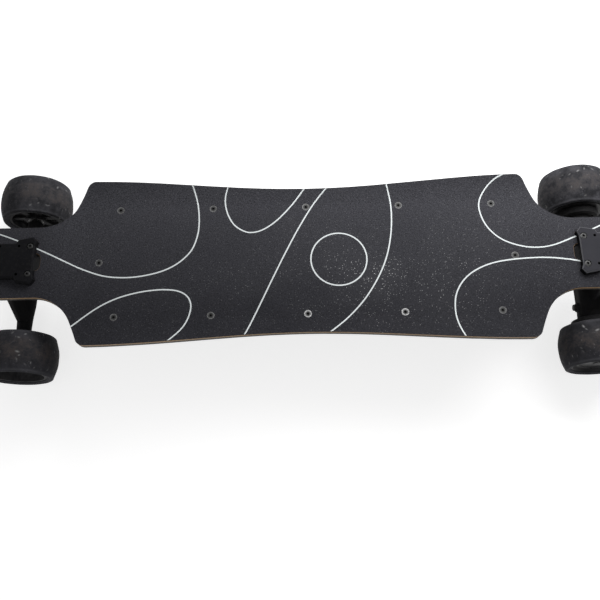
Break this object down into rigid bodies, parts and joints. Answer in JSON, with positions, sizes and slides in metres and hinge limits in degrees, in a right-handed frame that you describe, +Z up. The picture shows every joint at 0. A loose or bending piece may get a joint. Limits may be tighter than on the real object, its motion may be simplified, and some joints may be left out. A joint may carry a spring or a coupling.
{
  "type": "electric skateboard",
  "caption": "Drop-through electric longboard with a concave, slightly dropped wooden deck, steering trucks, wide slick wheels, rear hub motors and a battery box under the deck.",
  "frame": {"origin": "centre of the footprint on the ground, midway between the trucks", "axes": "+X runs along the deck towards the motor end, +Y is the board's right seen from above facing -X travel, +Z is up"},
  "size_m": [0.965, 0.3, 0.13],
  "materials": {
    "maple_deck": "clear lacquered ply edge",
    "grip": "coarse black grit sheet with fine white lines",
    "black_screws": "black oxide, worn bright on the rims",
    "zinc_steel": "zinc plated",
    "front_plate": "satin black",
    "rear_plate": "satin dark grey",
    "black_casting": "satin black powder coat",
    "tyre_rubber": "worn slick tread",
    "wheel_core": "dusty dark moulding",
    "motor_case": "satin black",
    "motor_cap": "satin black anodised",
    "magnet": "nickel plated",
    "laminations": "varnished stack",
    "copper_wire": "enamelled copper",
    "box_plastic": "fine moulded grain",
    "foam": "closed cell foam",
    "brass_insert": "knurled",
    "cell_wrap": "heat-shrink wrap",
    "holder_plastic": "moulded",
    "nickel": "rolled strip",
    "circuit_board": "solder mask",
    "controller_case": "black anodised",
    "heat_sink_metal": "grey anodised",
    "socket_plastic": "moulded",
    "cap_rubber": "soft moulded",
    "bezel_metal": "turned",
    "button_metal": "turned",
    "urethane": "cast urethane",
    "gland_nylon": "moulded nylon"
  },
  "bodies": {
    "board": {"deck": "maple_deck", "grip_sheet": "grip", "deck_screws": "black_screws", "truck_bolts": "black_screws", "truck_lock_nuts": "zinc_steel", "kingpins": "zinc_steel", "kingpin_nuts": "zinc_steel", "boardside_cup_washers": "zinc_steel", "roadside_cup_washers": "zinc_steel", "front_baseplate": "front_plate", "rear_baseplate": "rear_plate", "enclosure_shell": "box_plastic", "enclosure_gasket": "foam", "threaded_inserts": "brass_insert", "battery_cells": "cell_wrap", "cell_holders": "holder_plastic", "nickel_strips": "nickel", "battery_management_board": "circuit_board", "speed_controller": "controller_case", "heat_sink": "heat_sink_metal", "charge_socket": "socket_plastic", "power_button_bezel": "bezel_metal", "front_boardside_bushing": "urethane", "front_roadside_bushing": "urethane", "rear_boardside_bushing": "urethane", "rear_roadside_bushing": "urethane", "pivot_cups": "urethane", "enclosure_cable_glands": "gland_nylon"},
    "front_truck": {"front_hanger": "black_casting", "front_axle": "zinc_steel", "front_speed_rings": "zinc_steel", "front_bearing_spacers": "zinc_steel", "front_axle_nuts": "zinc_steel"},
    "rear_truck": {"rear_hanger": "black_casting", "motor_shafts": "zinc_steel", "motor_flanges": "black_casting", "motor_stators": "laminations", "motor_windings": "copper_wire", "hanger_cable_glands": "gland_nylon"},
    "front_left_wheel": {"front_left_tyre": "tyre_rubber", "front_left_core": "wheel_core", "front_left_bearings": "zinc_steel"},
    "front_right_wheel": {"front_right_tyre": "tyre_rubber", "front_right_core": "wheel_core", "front_right_bearings": "zinc_steel"},
    "rear_left_wheel": {"rear_left_tyre": "tyre_rubber", "rear_left_motor_can": "motor_case", "rear_left_magnets": "magnet", "rear_left_motor_cover": "motor_cap", "rear_left_motor_bearings": "zinc_steel"},
    "rear_right_wheel": {"rear_right_tyre": "tyre_rubber", "rear_right_motor_can": "motor_case", "rear_right_magnets": "magnet", "rear_right_motor_cover": "motor_cap", "rear_right_motor_bearings": "zinc_steel"},
    "button": {"power_button": "button_metal"},
    "cap": {"charge_socket_cap": "cap_rubber"}
  },
  "joints": [
    {"name": "front_steer", "type": "hinge", "parent": "board", "child": "front_truck", "pos_m": [-0.40867, 0, 0.05571], "axis": [-0.6428, 0, 0.766], "range_deg": [-12, 12], "stiffness_Nm_per_rad": 40, "deforming": ["front_boardside_bushing", "front_roadside_bushing"]},
    {"name": "rear_steer", "type": "hinge", "parent": "board", "child": "rear_truck", "pos_m": [0.40867, 0, 0.05571], "axis": [0.6428, 0, 0.766], "range_deg": [-12, 12], "stiffness_Nm_per_rad": 40, "deforming": ["rear_boardside_bushing", "rear_roadside_bushing"]},
    {"name": "front_left_spin", "type": "hinge", "parent": "front_truck", "child": "front_left_wheel", "pos_m": [-0.4125, -0.12, 0.0525], "axis": [0, 1, 0], "continuous": true},
    {"name": "front_right_spin", "type": "hinge", "parent": "front_truck", "child": "front_right_wheel", "pos_m": [-0.4125, 0.12, 0.0525], "axis": [0, 1, 0], "continuous": true},
    {"name": "rear_left_spin", "type": "hinge", "parent": "rear_truck", "child": "rear_left_wheel", "pos_m": [0.4125, -0.12, 0.0525], "axis": [0, 1, 0], "continuous": true},
    {"name": "rear_right_spin", "type": "hinge", "parent": "rear_truck", "child": "rear_right_wheel", "pos_m": [0.4125, 0.12, 0.0525], "axis": [0, 1, 0], "continuous": true},
    {"name": "power_button_press", "type": "slide", "parent": "board", "child": "button", "axis": [0, 1, 0], "range_m": [0, 0.0015], "stiffness_N_per_m": 400},
    {"name": "charge_cap_swing", "type": "hinge", "parent": "board", "child": "cap", "pos_m": [0.2247, -0.0783, 0.084], "axis": [0, 0, 1], "range_deg": [0, 115]}
  ]
}
